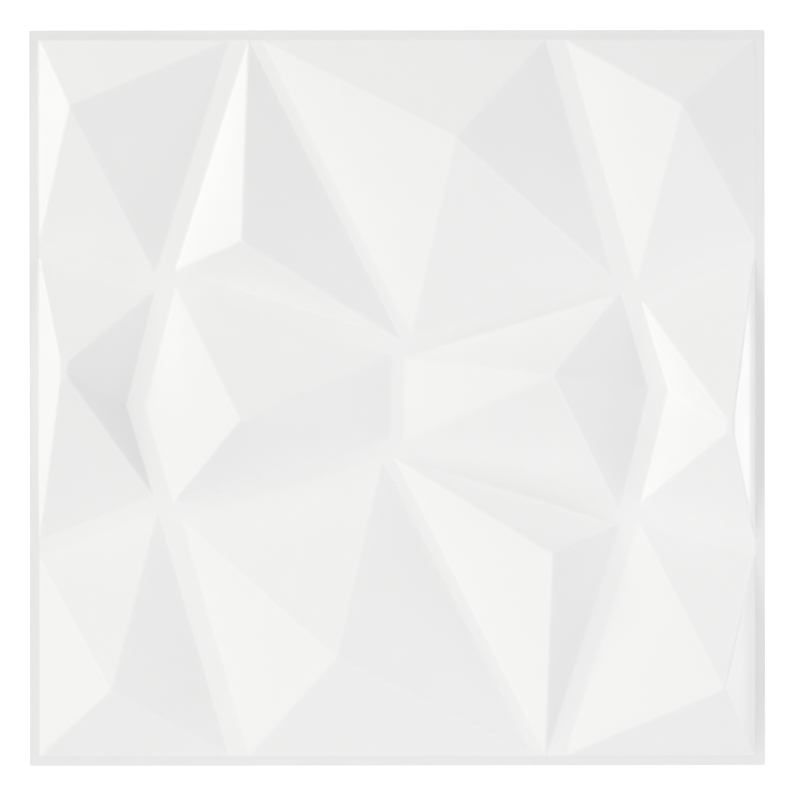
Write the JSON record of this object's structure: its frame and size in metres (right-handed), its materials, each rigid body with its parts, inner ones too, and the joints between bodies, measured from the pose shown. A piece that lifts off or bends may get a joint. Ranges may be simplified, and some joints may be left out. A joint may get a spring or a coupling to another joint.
{
  "type": "3d wall panel tile",
  "caption": "Square vacuum-formed wall panel with a relief of irregular pyramids parted by narrow flat bands, and a flat rim; hollow behind.",
  "frame": {"origin": "middle of the flat back, on the plane that meets the wall", "axes": "+Z out of the wall through the front, +Y towards the top edge and +X towards the right edge, both as seen from the front"},
  "size_m": [0.5, 0.5, 0.0245],
  "materials": {
    "white_plastic": "matt white formed sheet, faintly pebbled"
  },
  "bodies": {
    "root": {"wall_panel": "white_plastic"}
  },
  "joints": []
}
